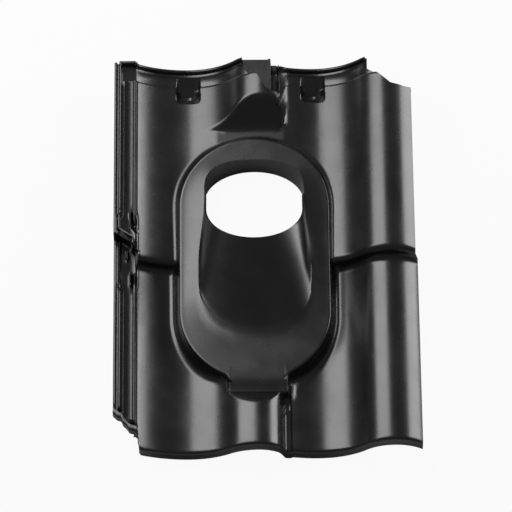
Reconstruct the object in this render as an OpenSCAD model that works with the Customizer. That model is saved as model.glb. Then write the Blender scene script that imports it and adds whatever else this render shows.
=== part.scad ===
/* [Column] */
// Distance between the two troughs
column_pitch = 200; // [192:1:208]
// Left trough from the middle of the tile
trough_x = -121; // [-124:1:-118]
// Radius of the trough on its left side
left_r = 150; // [140:1:170]
// Radius of the trough on its right side
right_r = 100; // [90:1:105]
// Crest of a roll, from its trough
crest_s = 117; // [112:1:120]
// Height of a roll over its trough
crest_h = 52; // [44:1:54]
// Radius of a roll on its right side
flank_r = 57.6; // [50:0.1:66]
// Free right edge of a roll in the upper course, from its trough
roll_end = 156; // [150:1:158]
// Free right edge of the roll in the lower course
low_roll_end = 160; // [156:1:162]
// Left end of the curved sheet, from its trough
wave_left = 84; // [80:1:88]
// Left end of the right column's sheet, from its trough
inner_left = 57; // [54:1:60]
// Wall of the sheet, measured straight down
wall = 4.5; // [4:0.1:6]

/* [Courses] */
// Eave edge
eave_y = -331; // [-343:1:-323]
// Front of the upper course
step_y = -18; // [-28:1:-8]
// Upper end of the curved sheet
body_y = 300; // [296:1:306]
// Head edge
head_y = 335; // [330:1:345]
// Top of a trough at the eave
eave_z = 27; // [24:1:30]
// Top of a trough at the front of the upper course
step_z = 39; // [37:1:43]
// Fall of a course toward its head, in degrees
course_tilt = 1.83; // [1:0.01:2.5]
// Depth of the turned-down front edge
lip = 26.8; // [20:0.1:26.9]
// Thickness of the turned-down front edge
lip_t = 5; // [4:0.5:8]
// How far its foot stands out
flare = 4; // [2:0.5:6]
// Height of that foot
lip_foot = 7; // [5:0.5:10]
// Depth of the front edge of the upper course
step_lip = 26; // [24:0.5:28]

/* [Middle roll] */
// Crest of the lower middle roll, from its trough
low_s = 107; // [102:1:112]
// Height of the lower middle roll
low_h = 38; // [30:1:44]
// Radius of its right flank
low_r = 45; // [42:1:60]
// Its right edge, from its trough
low_end = 148; // [144:1:150]
// Height of the level floor behind the platform
floor_h = 6.2; // [4:0.1:8]
// Foot of the slanted end of the upper middle roll
slant_y = 219; // [212:1:226]
// Lean of that end, in degrees
slant = 47; // [42:1:55]

/* [Head] */
// Drop of the head band under the sheet
band_drop = 7; // [4:0.5:10]
// Width of the rim at the head edge
rim_w = 6; // [4:0.5:9]
// Rise of that rim over the band
rim_h = 6; // [3:0.5:9]
// Right end of the head band, from its trough
band_end = 82; // [76:1:86]
// Corner taken off a roll at the head: its start below the head edge
corner_in = 16; // [12:1:20]
// Width of its slanted run
corner_w = 27; // [22:1:32]
// Length of its slanted run
corner_l = 24; // [18:1:30]
// Distance of that run from the band's end
corner_gap = 14; // [10:1:18]
// Top of the panel between the columns, over the trough
panel_h = 31; // [28:1:34]
// Right edge of the panel, from the right trough
panel_end = 66; // [62:1:70]
// Length of the panel
panel_l = 74; // [66:1:80]
// Height of the groove beside the panel
groove_h = 5; // [3:0.5:8]
// Width of a hanging lug
lug_w = 37; // [30:1:44]
// Length of a hanging lug
lug_l = 46; // [36:1:50]
// Middle of the lugs
lug_y = 296; // [288:1:300]
// Wall of a lug
lug_wall = 4; // [3:0.5:6]
// Nail hole in the floor of a lug
nail_d = 7; // [4:0.5:10]

/* [Side lock] */
// Width of the side lock of the lower course
lock_w = 34; // [30:1:38]
// How much narrower it is in the upper course
lock_in = 3.5; // [1:0.5:6]
// Distance of its upper front behind the front of the course
lock_end = 26; // [20:1:32]
// Height of its floor over the trough
lock_h = 24; // [20:1:26]
// Rise of the outer rib
rib_h = 10; // [6:0.5:14]
// Width of a rib
rib_w = 4.5; // [3:0.5:7]
// Middle of the outer rib, from the left end of the sheet
rib_a = 25; // [23:0.5:27]
// Middle of the inner rib, from the left end of the sheet
rib_b = 6; // [4:0.5:9]
// Sideways run of a rib's slanted end
rib_run = 20; // [14:1:24]
// Fall of a rib's slanted end
rib_fall = 14; // [10:1:20]
// Length of the block at the head of the inner rib
block_l = 38; // [30:1:44]
// Corner taken off at the eave, along the eave
notch_w = 44; // [38:1:48]
// Its length along the side
notch_l = 37; // [32:1:42]

/* [Platform] */
// Middle of the platform
hood_x = -17; // [-22:1:-12]
// Half width of the platform
hood_r = 118; // [110:1:122]
// Middle of its upper round end
hood_back = 79; // [70:1:84]
// Middle of its lower round end
hood_front = -103; // [-112:1:-94]
// Top of the platform
hood_z = 51; // [48:1:56]
// Wall of the platform
hood_t = 4; // [3:0.5:6]
// Width of the spout
spout_w = 91; // [84:1:96]
// Middle of the spout, from the middle of the platform
spout_x = 3; // [0:1:6]
// Front of the spout, where the roll's end rises from it
spout_y = -241; // [-246:1:-236]
// Rise of the roll's end there, in degrees
spout_rise = 30; // [25:1:40]

/* [Pipe stub] */
// Inner radius of the round front of the rim
rim_r = 79; // [70:1:84]
// Wall of the stub
stub_t = 4; // [3:0.5:6]
// Radius of its foot
foot_r = 89; // [86:1:94]
// Middle of the round front of the foot
foot_y = -46; // [-53:1:-38]
// Where the rim meets the platform
meet_y = 104; // [97:1:111]
// Lean of the rim, in degrees
rim_lean = 29; // [24:1:34]
// Straight run of the rim before its round front
rim_run = 46; // [38:1:54]
// Ledge of the platform behind the opening
open_gap = 37; // [30:1:44]
// Corner radius of the upper edge
open_r = 46; // [30:1:60]
// Depth of the wall behind the opening
apron = 44; // [30:1:46]

/* [Hidden] */
$fn = 96;
lap = 3;
proud = 0.02;
hair = 0.3;
deep = 60;
wave_top = 45;
right_x = trough_x + column_pitch;
big = 500;
open_y = hood_back + hood_r - open_gap;
lock_x = trough_x - wave_left;

// radius of a roll that meets a trough of radius right_r without a kink
function roll_r(s, h) = (s * s + h * h) / (2 * h) - right_r + proud;
// where trough and roll meet
function join_s(s, h) = right_r * sin(2 * atan(h / s));
// distance from the trough at which an arc of radius r has risen by h
function rise_s(r, h) = sqrt(r * r - (r - h) * (r - h));

// area under the trough of one column, between two distances from its middle
module under_trough(left, right) {
  difference() {
    translate([-left, -deep]) square([left + right, deep + wave_top]);
    intersection() {
      translate([0, left_r]) circle(left_r);
      translate([-left_r, 0]) square([left_r, deep]);
    }
    intersection() {
      translate([0, right_r]) circle(right_r);
      square([right_r, deep]);
    }
  }
}

// area under one column with its roll, whose crest stands a hair proud so that the arcs cross
module under_wave(left, s, h, flank_r, end) {
  join = join_s(s, h);
  r = roll_r(s, h);
  under_trough(left, join);
  translate([join - lap, -deep]) square([end - join + lap, deep - 5]);
  intersection() {
    translate([s, h + proud - r]) circle(r);
    translate([join - lap, -10]) square([s - join + lap, 80]);
  }
  intersection() {
    translate([s, h + proud - flank_r]) circle(flank_r);
    translate([s, -10]) square([end - s, 80]);
  }
}

// areas under a course: both columns, with a tall, a low or no roll in the middle
module under_right(end) {
  translate([right_x, 0]) under_wave(inner_left, crest_s, crest_h, flank_r, end);
}

module under_upper() {
  translate([trough_x, 0]) under_wave(wave_left, crest_s, crest_h, flank_r, roll_end);
}

module under_lower() {
  translate([trough_x, 0]) under_wave(wave_left, low_s, low_h, low_r, low_end);
}

module under_floor() {
  run = rise_s(right_r, floor_h);
  level = column_pitch - run - rise_s(left_r, floor_h);
  translate([trough_x, 0]) under_trough(wave_left, run);
  translate([trough_x + run - proud, -deep]) square([level - 1, deep + floor_h]);
}

// plan coordinates set on the leaning plane of a course
module on_course(base_y, base_z) {
  translate([0, base_y, base_z])
    rotate([-course_tilt, 0, 0])
      translate([0, -base_y, 0]) children();
}

module on_lower() {
  on_course(eave_y, eave_z) children();
}

module on_upper() {
  on_course(step_y, step_z) children();
}

// a section (x, z) drawn out from y0 to y1, leaning with its course
module drawn(y0, y1) {
  translate([0, y1, 0]) rotate([90, 0, 0]) linear_extrude(y1 - y0) children();
}

module lower(y0, y1) {
  on_lower() drawn(y0, y1) children();
}

module upper(y0, y1) {
  on_upper() drawn(y0, y1) children();
}

// floor of the side lock, w wide, whose front can reach lower by drop
module lock_area(w, drop) {
  translate([lock_x - w, lock_h - wall - drop]) square([w + 1, wall + drop]);
}

// rib of the side lock along a few points in plan, its runs a hair apart in height
module rib(points) {
  for (i = [1 : len(points) - 1]) {
    step = points[i] - points[i - 1];
    translate([points[i - 1][0], points[i - 1][1], lock_h - 1])
      rotate([0, 0, atan2(step[1], step[0])])
        translate([-rib_w / 2, -rib_w / 2, 0])
          cube([norm(step) + rib_w, rib_w, rib_h + 1 - hair * (i % 2)]);
  }
}

// slanted plane that ends the upper middle roll, as a block on its lower side
module slant_block(shift) {
  translate([trough_x, slant_y + shift, step_z - floor_h])
    rotate([slant - 90, 0, 0])
      translate([0, -big, -big / 2])
        cube([2 * big, big, big]);
}

// corner taken off the head end of a roll
module corner_cut(x) {
  start = head_y - corner_in;
  slope = start - corner_gap;
  foot = slope - corner_l;
  right = band_end + corner_gap + corner_w;
  translate([x, 0, -deep])
    linear_extrude(3 * deep)
      polygon([
        [band_end, head_y + lap],
        [band_end, start],
        [band_end + corner_gap, slope],
        [right, foot],
        [low_roll_end + lap, foot - lap],
        [low_roll_end + lap, head_y + lap]
      ]);
}

module upper_sheet() {
  // right column
  difference() {
    upper(step_y, body_y) difference() {
      under_right(roll_end);
      translate([0, -wall]) under_right(roll_end);
    }
    corner_cut(right_x);
  }
  // left column with level floor, then with its roll
  upper(step_y, slant_y + lap) difference() {
    under_floor();
    translate([0, -wall]) under_floor();
  }
  difference() {
    upper(slant_y - lap, body_y) {
      difference() {
        under_upper();
        translate([0, -wall]) under_upper();
      }
      translate([trough_x + roll_end - wall, floor_h - lap]) square([wall, crest_h / 2]);
    }
    slant_block(0);
    corner_cut(trough_x);
  }
  // slanted end of the roll
  intersection() {
    upper(slant_y - 2 * lap, slant_y + 2 * crest_h) difference() {
      under_upper();
      translate([0, -wall]) under_floor();
    }
    difference() {
      slant_block(hood_t / sin(slant));
      slant_block(0);
    }
  }
}

module lower_sheet() {
  lower(eave_y, step_y + lap) {
    difference() {
      union() {
        under_lower();
        under_right(low_roll_end);
      }
      translate([0, -wall]) under_lower();
      translate([0, -wall]) under_right(low_roll_end);
    }
    translate([trough_x + low_end - wall, lap]) square([wall, low_h / 3]);
  }
}

// turned-down front of the lower course, between two depths
module eave_area(from, to) {
  difference() {
    translate([0, -from]) {
      under_lower();
      under_right(low_roll_end);
    }
    translate([0, -to]) under_lower();
    translate([0, -to]) under_right(low_roll_end);
  }
}

module front_edges() {
  lower(eave_y, eave_y + lip_t) eave_area(0, lip);
  lower(eave_y - flare, eave_y + lip_t) eave_area(lip - lip_foot, lip);
  upper(step_y, step_y + lip_t) difference() {
    union() {
      under_floor();
      under_right(roll_end);
    }
    translate([0, -step_lip]) under_floor();
    translate([0, -step_lip]) under_right(roll_end);
  }
}

module side_locks() {
  front = step_y + lock_end;
  outer = lock_x - rib_a;
  inner = lock_x - rib_b;
  // lower course, whose inner rib turns in along the corner at the eave
  lower(eave_y, front + lap) lock_area(lock_w, 0);
  on_lower() {
    rib([[outer, eave_y + notch_l], [outer, front]]);
    rib([[inner + rib_run, eave_y + notch_w / 2], [inner, eave_y + notch_l + notch_w / 2], [inner, step_y]]);
  }
  // upper course, whose ribs both turn in over the front
  upper(front, body_y) lock_area(lock_w - lock_in, 0);
  upper(front, front + lip_t) lock_area(lock_w - lock_in, step_lip - wall);
  upper(step_y, front + lip_t) translate([1 - wall, 0]) intersection() {
    lock_area(wall, step_lip - wall);
    translate([lock_x - wall, 0]) square([wall, lock_h]);
  }
  on_upper() {
    rib([[outer + rib_run, front + rib_w], [outer, front + rib_w + rib_fall], [outer, body_y - lap]]);
    rib([[inner + rib_run / 2, front + 2 * rib_fall], [inner, front + 3 * rib_fall], [inner, body_y - lap]]);
    translate([inner - rib_w / 2, body_y - block_l, lock_h - 1]) cube([rib_b + rib_w, block_l, rib_h]);
  }
}

// corner taken off the eave at the side lock
module eave_notch() {
  left = lock_x - lock_w;
  translate([0, 0, -deep]) linear_extrude(3 * deep)
    polygon([
      [left - lap, eave_y + notch_l + lap],
      [left + notch_w, eave_y],
      [left + notch_w, eave_y - 2 * flare],
      [left - lap, eave_y - 2 * flare]
    ]);
}

// panel between the columns at the head, with its right wall and the groove beside it
module panel_area() {
  left = trough_x + band_end - 2 * lap;
  right = right_x - panel_end;
  translate([left, panel_h - wall]) square([right - left, wall]);
  translate([right - wall, groove_h - wall]) square([wall, panel_h - groove_h + wall]);
  translate([right - wall, groove_h - wall]) square([panel_end - inner_left + wall + lap, wall]);
}

// section of the head band under its top, lowered by drop
module under_band(left, drop) {
  translate([0, -drop]) {
    under_trough(left, join_s(crest_s, crest_h));
    intersection() {
      under_wave(0, crest_s, crest_h, flank_r, roll_end);
      translate([0, -deep]) square([band_end, 2 * deep]);
    }
  }
}

module head_band(x, left) {
  upper(body_y - 1, head_y) translate([x, 0]) difference() {
    under_band(left, band_drop);
    under_band(left, band_drop + wall);
  }
  upper(head_y - rim_w, head_y) translate([x, 0]) difference() {
    under_band(left, band_drop - rim_h);
    under_band(left, band_drop + wall);
  }
  upper(body_y - wall, body_y) translate([x, 0]) difference() {
    under_band(left, 0);
    under_band(left, band_drop + wall);
  }
}

// head end of the left side lock
module lock_band() {
  w = lock_w - lock_in;
  upper(body_y - 1, head_y) translate([0, -band_drop]) lock_area(w, 0);
  upper(head_y - rim_w, head_y) translate([0, rim_h - band_drop]) lock_area(w, rim_h);
  upper(body_y - wall, body_y) lock_area(w, band_drop);
}

module lug_block(x, grow, floor_z, top_z) {
  translate([x - lug_w / 2 - grow, lug_y - lug_l / 2 - grow, floor_z])
    cube([lug_w + 2 * grow, lug_l + 2 * grow, top_z - floor_z]);
}

// platform outline
module hood_area(inset) {
  translate([hood_x, hood_back]) circle(hood_r - inset);
  translate([hood_x, hood_front]) circle(hood_r - inset);
  translate([hood_x - hood_r + inset, hood_front]) square([2 * (hood_r - inset), hood_back - hood_front]);
}

// spout: the platform drawn out to the front between two straight sides
module spout_area(inset) {
  back = hood_front - hood_r / 2;
  translate([hood_x + spout_x - spout_w / 2 + inset, spout_y + inset / 2])
    square([spout_w - 2 * inset, back - spout_y]);
}

// room over the slanted end of the lower middle roll, in front of the spout
module scoop(shift) {
  translate([hood_x + spout_x - spout_w / 2, spout_y + lap, hood_z - shift])
    rotate([-spout_rise, 0, 0])
      translate([0, -deep, 0]) cube([spout_w, deep + lap, deep]);
}

module roll_end_face() {
  intersection() {
    lower(spout_y - deep, spout_y + lap) difference() {
      under_lower();
      translate([0, -wall - low_h / 2]) under_lower();
    }
    difference() {
      scoop(hood_t);
      scoop(0);
    }
  }
}

// opening of the platform behind the rim
module open_area(grow) {
  half = rim_r + 1;
  for (side = [-1, 1])
    translate([hood_x + side * (half - open_r), open_y - open_r]) circle(open_r + grow);
  translate([hood_x - half + open_r, open_y - 2 * open_r]) square([2 * (half - open_r), 2 * open_r + grow]);
  translate([hood_x - half - grow, meet_y - 40]) square([2 * (half + grow), open_y - open_r - meet_y + 40]);
}

// foot and rim of the stub
module foot_area(inset) {
  translate([hood_x, foot_y]) circle(foot_r - inset);
  translate([hood_x - rim_r - stub_t + inset, foot_y]) square([2 * (rim_r + stub_t - inset), meet_y - foot_y - 1]);
}

module rim_area(inset) {
  half = rim_r + stub_t - inset;
  intersection() {
    translate([0, -rim_run]) circle(half);
    translate([-half, -rim_run - half]) square([2 * half, half]);
  }
  translate([-half, -rim_run]) square([2 * half, rim_run]);
}

module rim_slab(inset, thick) {
  translate([hood_x, meet_y, hood_z])
    rotate([-rim_lean, 0, 0])
      linear_extrude(thick) rim_area(inset);
}

module stub_outer() {
  hull() {
    translate([0, 0, hood_z - hood_t]) linear_extrude(1) foot_area(0);
    translate([0, 0, -1]) rim_slab(0, 1);
  }
}

module stub_inner() {
  hull() {
    translate([0, 0, hood_z - hood_t - 8]) linear_extrude(1) foot_area(stub_t);
    rim_slab(stub_t, 6);
  }
}

module pass_through_tile() {
  color([0.09, 0.09, 0.09])
  difference() {
    union() {
      // sheets, cut away inside the platform and the spout
      difference() {
        union() {
          difference() {
            union() {
              upper_sheet();
              lower_sheet();
              front_edges();
              side_locks();
            }
            eave_notch();
          }
          head_band(trough_x, wave_left);
          head_band(right_x, inner_left);
          lock_band();
          upper(head_y - panel_l, head_y - 1) panel_area();
          for (x = [trough_x, right_x])
            lug_block(x, 0, 0, step_z - band_drop - wall);
        }
        translate([0, 0, -deep]) linear_extrude(3 * deep) {
          hood_area(hood_t / 2);
          spout_area(hood_t);
        }
        scoop(0);
        for (x = [trough_x, right_x])
          lug_block(x, -lug_wall, lug_wall, deep);
      }
      // top of the platform
      translate([0, 0, hood_z - hood_t]) linear_extrude(hood_t) {
        hood_area(0);
        spout_area(0);
      }
      // its skirt, down to the sheets
      difference() {
        linear_extrude(hood_z - hood_t / 2) difference() {
          union() {
            hood_area(0);
            spout_area(0);
          }
          hood_area(hood_t);
          spout_area(hood_t);
        }
        lower(eave_y - lip_t, step_y + lip_t) translate([0, -wall]) {
          under_lower();
          under_right(low_roll_end);
        }
        upper(step_y, body_y) translate([0, -wall]) {
          under_floor();
          under_right(roll_end);
        }
      }
      roll_end_face();
      stub_outer();
      // wall behind the opening
      translate([0, 0, hood_z - apron]) linear_extrude(apron - 1) intersection() {
        open_area(hood_t);
        translate([-big, meet_y]) square([2 * big, big]);
      }
    }
    stub_inner();
    translate([0, 0, -1]) linear_extrude(hood_z + 20) intersection() {
      open_area(0);
      translate([-big, meet_y - 2]) square([2 * big, big]);
    }
    for (x = [trough_x, right_x])
      translate([x, lug_y, -1]) cylinder(h = lug_wall + 2, d = nail_d);
  }
}

pass_through_tile();
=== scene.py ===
import math

import bmesh
import bpy
import numpy as np
from mathutils import Matrix, Vector


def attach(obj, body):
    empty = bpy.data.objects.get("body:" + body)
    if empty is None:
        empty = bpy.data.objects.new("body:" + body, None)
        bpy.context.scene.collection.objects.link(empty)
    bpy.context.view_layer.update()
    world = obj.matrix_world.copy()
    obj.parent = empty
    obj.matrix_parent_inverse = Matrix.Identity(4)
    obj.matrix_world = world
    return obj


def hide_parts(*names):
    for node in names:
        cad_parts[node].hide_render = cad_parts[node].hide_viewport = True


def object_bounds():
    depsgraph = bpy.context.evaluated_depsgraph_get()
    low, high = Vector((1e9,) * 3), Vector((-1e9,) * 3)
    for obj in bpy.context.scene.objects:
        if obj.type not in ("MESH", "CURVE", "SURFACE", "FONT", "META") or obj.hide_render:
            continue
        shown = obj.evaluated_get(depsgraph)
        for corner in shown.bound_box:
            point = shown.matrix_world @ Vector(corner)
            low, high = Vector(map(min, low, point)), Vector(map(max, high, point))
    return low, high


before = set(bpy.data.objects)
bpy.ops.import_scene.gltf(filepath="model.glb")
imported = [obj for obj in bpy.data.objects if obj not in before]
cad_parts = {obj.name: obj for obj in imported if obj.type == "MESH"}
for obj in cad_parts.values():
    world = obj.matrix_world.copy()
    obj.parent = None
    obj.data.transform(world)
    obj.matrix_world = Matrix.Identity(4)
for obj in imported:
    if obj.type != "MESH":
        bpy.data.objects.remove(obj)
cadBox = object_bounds()
mm = 0.001  # lengths below are in millimetres

# Curved sheet of the tile: two columns side by side, two courses one over the other.
# x runs across the tile, y up the roof, and s is the distance from a trough.
sheet = {
    "troughX": -121.0, "pitch": 200.0,                 # left trough, distance to the right one
    "leftR": 150.0, "rightR": 100.0,                   # radii of a trough
    "crestS": 117.0, "crestH": 52.0, "flankR": 57.6,   # roll of a column and its far flank
    "lowS": 107.0, "lowH": 38.0, "lowFlankR": 45.0,    # left roll of the lower course
    "lowEndS": 140.0, "lowFall": 1.1,                  # its flank falls away from here on
    "rightStartX": 37.5, "rightFall": 5.0,             # left end of the lower right column
    "valleyX": 36.5, "valleySpan": 20.0, "valleyRise": 0.14, "valleyH": 1.0, "valleyRound": 1.4,
    "valleyFromX": 0.0, "valleyToX": 60.0,
    "tilt": 1.83, "eaveY": -334.4, "eaveZ": 27.0, "stepY": -18.0, "stepZ": 39.0, "headY": 335.0,
    "rightEdge": 239.0, "upperIn": 4.0, "narrowX": 180.0,  # the upper course is narrower
    "wall": 3.6,
}

# End of the left roll, a slanting face above the platform
bell = {
    "floorH": 6.2, "floorRound": 6.0, "levelRound": 2.0, "levelY": (250.0, 264.0),
    "slantY": 219.0, "slant": 47.0, "round": 6.0,
    "foot": 9.0, "footShare": 0.7, "footLeast": 0.05, "footFade": 0.95, "footFadeX": (14.0, 30.0),
}

# Line where the two columns of the upper course part
parting = {
    "x": 31.0, "bulge": 8.0, "bulgeY": 246.0, "bulgeHalf": 27.0, "bulgeFrom": (206.0, 222.0),
    "bulgeLines": [24.2, 30.5, 31.5, 36.2],
    "lip": 2.4, "lipShape": [(31.0, 0), (31.5, 0.6), (33.0, 1.0), (34.5, 0.8), (37.0, 0)],
    "lipY": (217.0, 230.0),
}

# Head band: its drop under the sheet by y, its slanting end and the cut corners of the rolls
band = {
    "y": 299.0, "edgeDrops": (12.0, 8.0),
    "profile": [
        (299.0, 0.0), (300.6, 0.4), (301.8, 1.6), (302.7, 4.0), (303.4, 6.8), (304.8, 8.2),
        (307.0, 7.6), (320.5, 7.0), (322.5, 8.2), (326.0, 8.6), (327.6, 8.0), (328.6, 5.0),
        (329.4, 2.2), (330.8, 1.0), (332.6, 1.0), (334.0, 2.0), (334.8, 4.0),
    ],
    "slant": 14.0, "slantTop": 317.0, "slantTopRun": 17.0, "slantFoot": 284.0, "slantFootRun": 16.0,
    "slantLines": [-62.0, -34.6, -33.4, 6.0],
    "cut": [(-20, 299), (3, 272), (22, 266), (36, 264)], "cutFromX": -20, "cutFromY": 218.0,
    "cutFade": (31.0, 37.0),
    "rightCut": [(161, 400), (165, 314), (176, 305), (202, 280), (225, 276), (236, 278)],
}

# Panel and groove between the columns, beyond the cut corner of the left roll
panel = {
    "fromX": -34.0, "grooveX": 11.9, "columnX": 21.4, "reachY": 0.5,
    "top": [(6.6, 31), (7.6, 34.0), (10.4, 34.0), (11.4, 32.4), (12.4, 5), (21.0, 5)],
    "groove": 5.0, "grooveRim": 5.0, "rimY": (327.0, 329.5), "endY": 334.9, "endDrop": 4.0,
}

# Side lock: height over its floor from the outer edge to the sheet, and its two ends
lock = {
    "profile": [
        (-239.0, -5.0), (-238.9, 2.0), (-238.2, 4.4), (-237.0, 5.0), (-235.4, 4.6), (-234.4, 2.0),
        (-233.6, -1.5), (-232.6, -1.5), (-232.2, -1.5), (-231.4, 3.0), (-230.8, 7.6), (-229.8, 9.6),
        (-228.4, 9.6), (-227.3, 7.8), (-226.4, 2.0), (-225.2, 0.2), (-224.2, -1.6), (-222.0, -2.4),
        (-220.4, -2.8), (-218.8, -3.2), (-217.2, -3.6), (-215.4, -4.0), (-214.2, -2.6), (-213.3, 3.0),
        (-212.3, 5.2), (-209.2, 5.2), (-208.2, 6.4), (-207.2, 8.2), (-205.8, 8.2), (-204.8, 5.6),
        (-204.0, 1.6), (-203.0, -0.4), (-201.6, 0.4), (-200.0, 0.0),
    ],
    "edgeX": -205.0, "blend": (-1.0, 6.0), "reach": 8.0, "height": 24.0, "under": -4.5,
    "channelY": (300.0, 303.5), "channelX": -226.4, "channelFloor": -1.0,  # inner ribs stop here
    "fall": 0.2, "fallX": -226.0, "fallSpan": 20.0,
    "rimY": (327.0, 330.0), "rimX": -231.0, "rim": 9.0,                    # rim along the head
    "headY": 333.4, "headFall": 1.6, "headShare": 0.35,
    "eaveInside": (13.0, 17.0), "eaveFloor": -2.0, "eaveRimRun": (6.0, 8.5), "eaveRim": 7.0,
    "lipShare": 0.6, "underLipShare": 0.1, "leastNormal": 0.2,
    "eaveCut": [(-239, 58), (-232, 51), (-226, 49), (-222, 40), (-218, 37), (-213, 29), (-205.6, 27),
                (-200, 25), (-198.6, 3), (-196, 0)],
    "eaveCutY": -216.0, "eaveCutRun": 94.0,
}

# Ends and turns of the lock's ribs where the upper course meets the lower one:
# each rib is a path, its half width and its height
lockTurn = {
    "front": [(-239, 25), (-233.5, 25), (-232.0, 28.6), (-211, 13.6), (-209.5, 5), (-208, 4), (-196, -7),
              (-194, -16), (-190, -18)],
    "frontSoft": 1.6,
    "upperRibs": [
        ([(-230, 70), (-230, 33), (-209.7, 18.5), (-208, 6)], 2.0, 10.0),
        ([(-211.6, 70), (-211.6, 42), (-202, 31)], 1.4, 5.4),
        ([(-206.5, 70), (-206.5, 46)], 1.3, 8.4),
    ],
    "lowerRibs": [
        ([(-229.6, 21), (-229.6, -80)], 2.0, 9.6),
        ([(-217.0, 5), (-217.0, -8)], 1.6, 8.0),
        ([(-197.7, -14), (-197.7, -30)], 1.8, 9.0),
        ([(-192.4, -9), (-192.4, -24)], 1.8, 9.0),
        ([(-213.0, -34), (-213.0, -80)], 1.8, 6.0),
        ([(-206.4, -34), (-206.4, -80)], 1.6, 8.4),
    ],
    "ribIn": 1.3, "ribOut": 0.9, "floor": -2.0, "floorSpan": 14.0,
    "border": 5.0, "borderLow": 9.0, "borderX": (233.4, 235.4),
    "near": (-66.0, -50.0), "far": (54.0, 64.0),
    "shear": [(-239, 10), (-230, 10), (-209.7, -4.5), (-203, -5), (-190, 0)],  # along the slanting ribs
    "shearFrom": (-8.0, 12.0), "shearTo": (40.0, 80.0),
}

rightX = sheet["troughX"] + sheet["pitch"]
tanTilt = math.tan(math.radians(sheet["tilt"]))


def softMin(a, b, k):
    h = np.clip(0.5 + 0.5 * (b - a) / k, 0.0, 1.0)
    return b + (a - b) * h - k * h * (1.0 - h)


def softMax(a, b, k):
    return -softMin(-a, -b, k)


def ease(x, a, b):
    t = np.clip((x - a) / (b - a), 0.0, 1.0)
    return t * t * (3.0 - 2.0 * t)


def along(x, points):
    return np.interp(x, [p[0] for p in points], [p[1] for p in points])


def roundedBox(qx, qy, corner):
    return np.hypot(np.maximum(qx, 0), np.maximum(qy, 0)) + np.minimum(np.maximum(qx, qy), 0) - corner


def arcUp(s, r):
    return r - np.sqrt(np.maximum(r * r - s * s, 1.0))


def column(s, crestS, crestH, flankR):
    # one column: left trough arc, right trough arc, roll, far flank
    right = sheet["rightR"]
    rollR = (crestS ** 2 + crestH ** 2) / (2 * crestH) - right
    join = right * math.sin(2 * math.atan(crestH / crestS))
    roll = crestH - rollR + np.sqrt(np.maximum(rollR ** 2 - (s - crestS) ** 2, 1.0))
    flank = crestH - flankR + np.sqrt(np.maximum(flankR ** 2 - (s - crestS) ** 2, 1.0))
    z = np.where(s < 0, arcUp(s, sheet["leftR"]), arcUp(s, right))
    z = np.where(s > join, roll, z)
    return np.where(s > crestS, flank, z)


def plainColumn(s):
    return column(s, sheet["crestS"], sheet["crestH"], sheet["flankR"])


def rollEdge(y):
    share = np.clip((y - parting["bulgeY"]) / parting["bulgeHalf"], -1.0, 1.0)
    return parting["x"] - parting["bulge"] * share ** 2


def upperSlope(y):
    return sheet["stepZ"] - (y - sheet["stepY"]) * tanTilt


def lowerSlope(y):
    return sheet["eaveZ"] - (y - sheet["eaveY"]) * tanTilt


def upperRel(x, y, leftSide=None):
    s = x - sheet["troughX"]
    flat = softMin(arcUp(s, sheet["rightR"]), bell["floorH"], bell["floorRound"])
    floor = np.where(s < 0, arcUp(s, sheet["leftR"]), flat)
    roll = plainColumn(s)
    slantZ = bell["floorH"] + (y - bell["slantY"]) * math.tan(math.radians(bell["slant"]))
    face = softMin(roll, slantZ, bell["round"])
    fillet = np.clip((roll - floor) * bell["footShare"], bell["footLeast"], bell["foot"])
    fillet = fillet * (1 - bell["footFade"] * ease(x, *bell["footFadeX"]))
    left = np.where(s > 0, softMax(floor, face, fillet), floor)
    t = x - rightX
    full = plainColumn(t)
    level = np.where(t < 0, softMin(full, bell["floorH"] + 0 * full, bell["levelRound"]), full)
    w = ease(y, *bell["levelY"])
    right = level * (1 - w) + full * w
    if leftSide is None:
        leftSide = x < parting["x"]
    return np.where(leftSide, left, right)


def upperZ(x, y, leftSide=None):
    return upperSlope(y) + upperRel(x, y, leftSide)


def lowerZ(x, y):
    s = x - sheet["troughX"]
    left = column(s, sheet["lowS"], sheet["lowH"], sheet["lowFlankR"])
    left = np.where(s > sheet["lowEndS"], left - (s - sheet["lowEndS"]) * sheet["lowFall"], left)
    right = plainColumn(x - rightX)
    start = sheet["rightStartX"]
    right = np.where(x < start, right - (start - x) * sheet["rightFall"], right)
    valley = sheet["valleyH"] + sheet["valleyRise"] * np.clip(sheet["valleyX"] - x, 0, sheet["valleySpan"])
    z = softMax(np.maximum(left, valley), np.maximum(right, sheet["valleyH"]), sheet["valleyRound"])
    z = np.where(x < sheet["valleyFromX"], left, np.where(x > sheet["valleyToX"], right, z))
    return lowerSlope(y) + z


def spread(a, b, gap):
    count = max(1, round(abs(b - a) / gap))
    return [a + (b - a) * i / count for i in range(count)]


# Rows of the grid, from the head edge to the foot of the eave: runs are (from, to, gap)
rowRuns = {
    "upper": [(297.0, 264.0, 2.4), (264.0, 206.0, 2.2), (206.0, 52.0, 6.0), (52.0, 28.0, 2.4),
              (28.0, 16.0, 1.2), (16.0, -6.0, 2.2)],
    "edge": [(-6.0, 0.0), (-9.4, 0.5), (-12.4, 1.8), (-14.8, 4.0), (-16.6, 6.8)],    # y, drop
    "wall": (0.3, 0.5, 0.68),                                                       # share of the step
    "foot": [(-19.4, 6.5), (-21.4, 3.8), (-24.0, 1.7), (-27.0, 0.5), (-30.0, 0.0)],  # y, lift
    "lower": [(-32.0, -62.0, 3.0), (-62.0, -216.0, 6.0), (-216.0, -286.0, 2.6), (-286.0, -328.0, 2.4)],
    "lip": [(5.6, 0.0), (3.2, 0.25), (1.5, 1.0), (0.5, 2.2), (0.1, 3.8), (0.0, 7.0), (0.0, 12.0),
            (-0.1, 14.4), (-0.5, 16.0), (-0.9, 17.4), (-1.0, 19.0), (-1.0, 21.0)],   # from the eave, drop
}
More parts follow.
